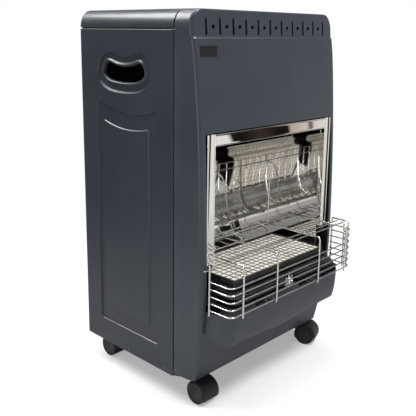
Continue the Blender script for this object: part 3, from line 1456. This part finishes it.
def caster(name, x, y, trail, degrees):
    """A twin-wheel caster: a barrel hood between two disc wheels, turned by degrees."""
    turn = (
        Matrix.Translation(place(x, y, 0)) @ Matrix.Rotation(math.radians(degrees), 4, "Z")
        @ Matrix.Translation(-place(x, y, 0))
    )
    centre = (x, y + trail, WHEEL_HEIGHT)
    hood = Skin()
    outer, half = HOOD_RADIUS, HOOD_HALF
    profile = [
        (WHEEL_RADIUS + 0.8, -half), (outer - 0.7, -half), (outer - 0.15, -half + 0.5), (outer, -half + 1.3),
        (outer, half - 1.3), (outer - 0.15, half - 0.5), (outer - 0.7, half), (WHEEL_RADIUS + 0.8, half),
    ]
    steps = 56
    rings = []
    for step in range(steps + 1):
        angle = math.radians(HOOD_START + (HOOD_END - HOOD_START) * step / steps)
        ring = []
        for radius, along in profile:
            forward, up = radius * math.cos(angle), radius * math.sin(angle)
            ring.append((centre[0] + along, centre[1] - forward, centre[2] + up))
        rings.append(ring)
    hood.loft(rings, start=True, end=True)
    web = [(x + 3.6 * sx, y + trail / 2 + 9.0 * sy) for sx, sy in ((-1, -1), (1, -1), (1, 1), (-1, 1))]
    hood.prism(web, WHEEL_HEIGHT - 4, WHEEL_HEIGHT + outer - 1.5, 0.4)
    socket = [(4.2, 4.0), (7.5, 4.0), (7.5, outer + 0.4), (7.0, outer + 1.2), (4.2, outer + 1.2)]
    hood.turned(socket, (x, y, WHEEL_HEIGHT), "Z", 40, looped=True)
    make(f"{name}_barrel_hood", hood, finish("caster_plastic"), body=f"{name}_fork",
         stands_for=[f"{name}_hood"], turn=turn, smooth=40)
    for side, label in ((-1, "left"), (1, "right")):
        wheel = Skin()
        radius = WHEEL_HEIGHT + 0.02
        profile = [
            (2.6, 4.6), (radius - 1.2, 4.6), (radius - 0.3, 5.0), (radius, 5.9), (radius, 20.0),
            (radius - 0.2, 20.9), (radius - 0.8, 21.6), (radius - 1.7, 21.95), (radius - 3.2, 21.9),
            (radius - 3.7, 21.6), (radius - 4.2, 21.5), (10, 21.35), (0, 21.2),
        ]
        wheel.turned([(r, side * along) for r, along in profile], centre, "X", 64)
        make(f"{name}_disc_{label}", wheel, finish("tread_plastic"), body=f"{name}_{label}_wheel",
             stands_for=[f"{name}_wheel_{label}"], turn=turn, smooth=40)


# ------------------------------------------------------------------ carried solids


CARRIED = {
    "matt_black_steel": ["base_tray", "burner_shelf"],
    "zinc_plate": [
        "rear_rail", "heat_shield", "pilot_bracket", "gas_valve", "valve_spindle",
        *[f"{caster_name}_{part}" for part in ("stem", "axle") for caster_name, *_ in CASTERS],
    ],
    "brass_fittings": ["injector_rail", "hose_tail"],
    "drawn_pipe": ["gas_pipe", "pilot_pipe"],
    "well_plastic": ["igniter_body"],
}


def dress_carried_solids():
    """Gives the solids that stay as they are their finishes."""
    for name, nodes in CARRIED.items():
        for node in nodes:
            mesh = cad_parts[node].data
            mesh.materials.clear()
            mesh.materials.append(finish(name))


# ------------------------------------------------------------------ studio


CAMERA_PLACE = (-0.95327, -0.90933, 0.68388)  # metres
CAMERA_RIGHT = (0.69288571, -0.72093417, 0.01277982)
CAMERA_UP = (0.14583932, 0.15747895, 0.97669405)
CAMERA_FORWARD = (0.70614466, 0.67487355, -0.21425546)
CAMERA_LENS = 55.08
CAMERA_SENSOR = 36.0
CAMERA_SHIFT = -0.0865
FLOOR_REACH = 9000.0
LAMPS = [  # name, place, what it points at, size in metres, watts
    ("top_lamp", (0.0, 0.35, 2.3), (0, 0, 0.4), (1.5, 1.6), 34),
    ("rim_lamp", (-1.05, 1.4, 2.25), (-0.1, 0, 0.6), (1.4, 0.9), 78),
    ("key_lamp", (0.45, -1.05, 2.2), (0, -0.1, 0.4), (0.5, 0.6), 50),
    ("side_strip", (-2.4, -0.55, 0.85), (0, 0, 0.4), (0.22, 1.6), 11),
]


def area_lamp(name, spot, target, size, power):
    """A rectangular lamp at a spot, turned to its target."""
    data = bpy.data.lights.new(name, "AREA")
    data.shape = "RECTANGLE"
    data.size, data.size_y = size
    data.energy = power
    lamp = bpy.data.objects.new(name, data)
    lamp.location = spot
    lamp.rotation_euler = (Vector(target) - Vector(spot)).to_track_quat("-Z", "Y").to_euler()
    bpy.context.scene.collection.objects.link(lamp)


def studio_zones(n, across, along):
    """What polished metal sees round the heater: a white studio with a dark gap in it."""
    bearing = n.math("MULTIPLY", n.math("ARCTAN2", along, across), 180 / math.pi)
    gap = n.zone(bearing, -46.0, -45.4, -38.4, -38.0)
    brown = n.zone(bearing, -44.0, -42.0, -41.6, -39.6)
    slim = n.zone(bearing, -36.2, -35.8, -35.6, -35.3)
    left = n.zone(bearing, 92.0, 104.0, 166.0, 176.0)
    white = (0.95, 0.94, 0.92)
    tone = n.mix(brown, (0.012, 0.011, 0.010), (0.045, 0.032, 0.024))
    sweep = n.mix(n.ramp(bearing, -37.6, -33.8), (0.62, 0.52, 0.43), white)
    sweep = n.mix(n.ramp(bearing, -45.4, -45.0), white, sweep)
    base = n.mix(n.math("MULTIPLY", slim, 0.85), n.mix(gap, sweep, tone), (0.10, 0.07, 0.05))
    return n.mix(left, base, (0.05, 0.05, 0.055))


def blend_shaders(n, factor, first, second):
    """The second shader where factor is 1, and the first where it is 0."""
    node = n.add("ShaderNodeMixShader")
    for socket, source in zip(node.inputs, (factor, first, second)):
        n.link(source, socket)
    return node.outputs[0]


def studio_camera():
    """The camera that the heater is pictured with."""
    data = bpy.data.cameras.new("studio_camera")
    data.lens = CAMERA_LENS
    data.sensor_width = CAMERA_SENSOR
    data.shift_y = CAMERA_SHIFT
    camera = bpy.data.objects.new("studio_camera", data)
    columns = [Vector(CAMERA_RIGHT), Vector(CAMERA_UP), -Vector(CAMERA_FORWARD)]
    turn = Matrix([[c[row] for c in columns] for row in range(3)])
    camera.matrix_world = Matrix.Translation(CAMERA_PLACE) @ turn.to_4x4()
    bpy.context.scene.collection.objects.link(camera)
    bpy.context.scene.camera = camera


def studio_floor():
    """A pale floor that glows to the camera and to polished metal, less so near the heater."""
    reach = FLOOR_REACH
    skin = Skin()
    skin.fill(skin.ring([(-reach, -reach, 0), (reach, -reach, 0), (reach, reach, 0), (-reach, reach, 0)]))
    floor = bpy.data.objects.new("studio_floor", new_mesh("studio_floor", skin))
    bpy.context.scene.collection.objects.link(floor)
    pale = bpy.data.materials.new("studio_pale")
    n = empty_nodes(pale)
    output = n.add("ShaderNodeOutputMaterial")
    matt = n.set(n.add("ShaderNodeBsdfDiffuse"), Color=(0.86, 0.86, 0.86))
    glow = n.add("ShaderNodeEmission")
    rays = n.add("ShaderNodeLightPath").outputs
    parts = n.split(n.spot())
    away = n.distance(parts["X"], parts["Y"])
    seen = n.math("MULTIPLY", rays["Is Camera Ray"], n.ramp(away, 0.25, 0.9, 0.36, 1.0))
    mirrored = n.math("MULTIPLY", rays["Is Glossy Ray"], n.ramp(away, 0.4, 1.3, 0.6, 1.0))
    zones = n.mix(n.ramp(away, 0.5, 1.4), (0.15, 0.155, 0.165), studio_zones(n, parts["X"], parts["Y"]))
    n.link(n.mix(rays["Is Glossy Ray"], (1.0, 1.0, 1.0), zones), glow.inputs["Color"])
    both = blend_shaders(n, n.math("MAXIMUM", seen, mirrored), matt.outputs[0], glow.outputs[0])
    n.link(both, output.inputs["Surface"])
    floor.data.materials.append(pale)


def studio_background():
    """White to the camera, soft and dim as a light, and zoned to polished metal."""
    world = bpy.data.worlds.new("studio_world")
    bpy.context.scene.world = world
    n = empty_nodes(world)
    output = n.add("ShaderNodeOutputWorld")
    rays = n.add("ShaderNodeLightPath").outputs
    parts = n.split(n.spot("Generated"))
    soft = n.set(n.add("ShaderNodeBackground"), Color=(0.95, 0.97, 1.0), Strength=0.18)
    upper = n.ramp(parts["Z"], 0.75, 0.95, 0.0, 0.8)
    level = n.math("ADD", n.ramp(parts["Z"], 0.05, 0.45, 0.55, 0.06), upper)
    mirrored = n.add("ShaderNodeBackground")
    n.set(mirrored, Color=studio_zones(n, parts["X"], parts["Y"]), Strength=level)
    white = n.set(n.add("ShaderNodeBackground"), Color=(1, 1, 1))
    unseen = blend_shaders(n, rays["Is Glossy Ray"], soft.outputs[0], mirrored.outputs[0])
    seen = n.math("MAXIMUM", rays["Is Camera Ray"], rays["Is Transmission Ray"])
    n.link(blend_shaders(n, seen, unseen, white.outputs[0]), output.inputs["Surface"])


def studio():
    """The camera, the floor, the background and the lamps."""
    studio_camera()
    studio_floor()
    studio_background()
    bpy.context.scene.view_settings.view_transform = "Standard"
    for lamp in LAMPS:
        area_lamp(*lamp)


# ------------------------------------------------------------------ add-on


class HEATER_OT_finishes(bpy.types.Operator):
    """Make the finishes and dress the solids that are carried over"""

    bl_idname = "heater.finishes"
    bl_label = "Finishes"
    bl_options = {"REGISTER", "UNDO"}

    def execute(self, context):
        make_finishes()
        dress_carried_solids()
        return {"FINISHED"}


class HEATER_OT_stage(bpy.types.Operator):
    """Set up the floor, the lamps, the background and the camera"""

    bl_idname = "heater.stage"
    bl_label = "Studio"
    bl_options = {"REGISTER", "UNDO"}

    def execute(self, context):
        studio()
        return {"FINISHED"}


class HEATER_OT_cabinet(bpy.types.Operator):
    """Build the pressed side panels and the rounded top"""

    bl_idname = "heater.cabinet"
    bl_label = "Cabinet"
    bl_options = {"REGISTER", "UNDO"}

    def execute(self, context):
        side_panel(-1)
        side_panel(1)
        top_cover()
        return {"FINISHED"}


class HEATER_OT_front(bpy.types.Operator):
    """Build the moulded front, its vents, the plain plate and the apron"""

    bl_idname = "heater.front"
    bl_label = "Front moulding"
    bl_options = {"REGISTER", "UNDO"}

    def execute(self, context):
        front_moulding()
        blank_plate()
        lower_apron()
        return {"FINISHED"}


class HEATER_OT_trim(bpy.types.Operator):
    """Build the bright strips round the window"""

    bl_idname = "heater.trim"
    bl_label = "Window trim"
    bl_options = {"REGISTER", "UNDO"}

    def execute(self, context):
        window_trim()
        return {"FINISHED"}


class HEATER_OT_burner(bpy.types.Operator):
    """Build the burner housing, its plaques and gauze, and the pilot"""

    bl_idname = "heater.burner"
    bl_label = "Burner"
    bl_options = {"REGISTER", "UNDO"}

    def execute(self, context):
        burner()
        pilot()
        return {"FINISHED"}


class HEATER_OT_reflector(bpy.types.Operator):
    """Build the curved reflector and its ends"""

    bl_idname = "heater.reflector"
    bl_label = "Reflector"
    bl_options = {"REGISTER", "UNDO"}

    def execute(self, context):
        reflector()
        return {"FINISHED"}


class HEATER_OT_guard(bpy.types.Operator):
    """Build the wire guard and its brackets"""

    bl_idname = "heater.guard"
    bl_label = "Wire guard"
    bl_options = {"REGISTER", "UNDO"}

    def execute(self, context):
        guard()
        return {"FINISHED"}


class HEATER_OT_controls(bpy.types.Operator):
    """Build the control well, the knob and the ignition button"""

    bl_idname = "heater.controls"
    bl_label = "Controls"
    bl_options = {"REGISTER", "UNDO"}

    def execute(self, context):
        control_well()
        turned_knob()
        spark_button()
        return {"FINISHED"}


class HEATER_OT_rear_cover(bpy.types.Operator):
    """Build the cover over the bottle bay"""

    bl_idname = "heater.rear_cover"
    bl_label = "Rear cover"
    bl_options = {"REGISTER", "UNDO"}

    def execute(self, context):
        rear_cover()
        return {"FINISHED"}


class HEATER_OT_casters(bpy.types.Operator):
    """Build the four twin-wheel casters"""

    bl_idname = "heater.casters"
    bl_label = "Casters"
    bl_options = {"REGISTER", "UNDO"}

    def execute(self, context):
        for row in CASTERS:
            caster(*row)
        return {"FINISHED"}


BUILD_ORDER = (
    HEATER_OT_stage,
    HEATER_OT_finishes,
    HEATER_OT_cabinet,
    HEATER_OT_front,
    HEATER_OT_trim,
    HEATER_OT_burner,
    HEATER_OT_reflector,
    HEATER_OT_guard,
    HEATER_OT_controls,
    HEATER_OT_rear_cover,
    HEATER_OT_casters,
)


class HEATER_PT_panel(bpy.types.Panel):
    """Sizes, colours and building steps of the heater"""

    bl_idname = "HEATER_PT_panel"
    bl_label = "Gas cabinet heater"
    bl_space_type = "VIEW_3D"
    bl_region_type = "UI"
    bl_category = "Heater"

    def draw(self, context):
        """Lists every setting and every building step."""
        for settings in (context.scene.heater_sizes, context.scene.heater_colours):
            box = self.layout.box()
            for name in type(settings).__annotations__:
                box.prop(settings, name)
        for operator in BUILD_ORDER:
            self.layout.operator(operator.bl_idname)


CLASSES = (HeaterSizes, HeaterColours, *BUILD_ORDER, HEATER_PT_panel)


def register():
    """Adds the settings, the building steps and the panel."""
    for kind in CLASSES:
        bpy.utils.register_class(kind)
    bpy.types.Scene.heater_sizes = PointerProperty(type=HeaterSizes)
    bpy.types.Scene.heater_colours = PointerProperty(type=HeaterColours)


def unregister():
    """Takes out what register() added."""
    del bpy.types.Scene.heater_colours
    del bpy.types.Scene.heater_sizes
    for kind in reversed(CLASSES):
        bpy.utils.unregister_class(kind)


def main():
    """Builds the heater step by step and notes its size."""
    register()
    for operator in BUILD_ORDER:
        getattr(bpy.ops.heater, operator.bl_idname.split(".")[1])()


if __name__ == "__main__":
    main()
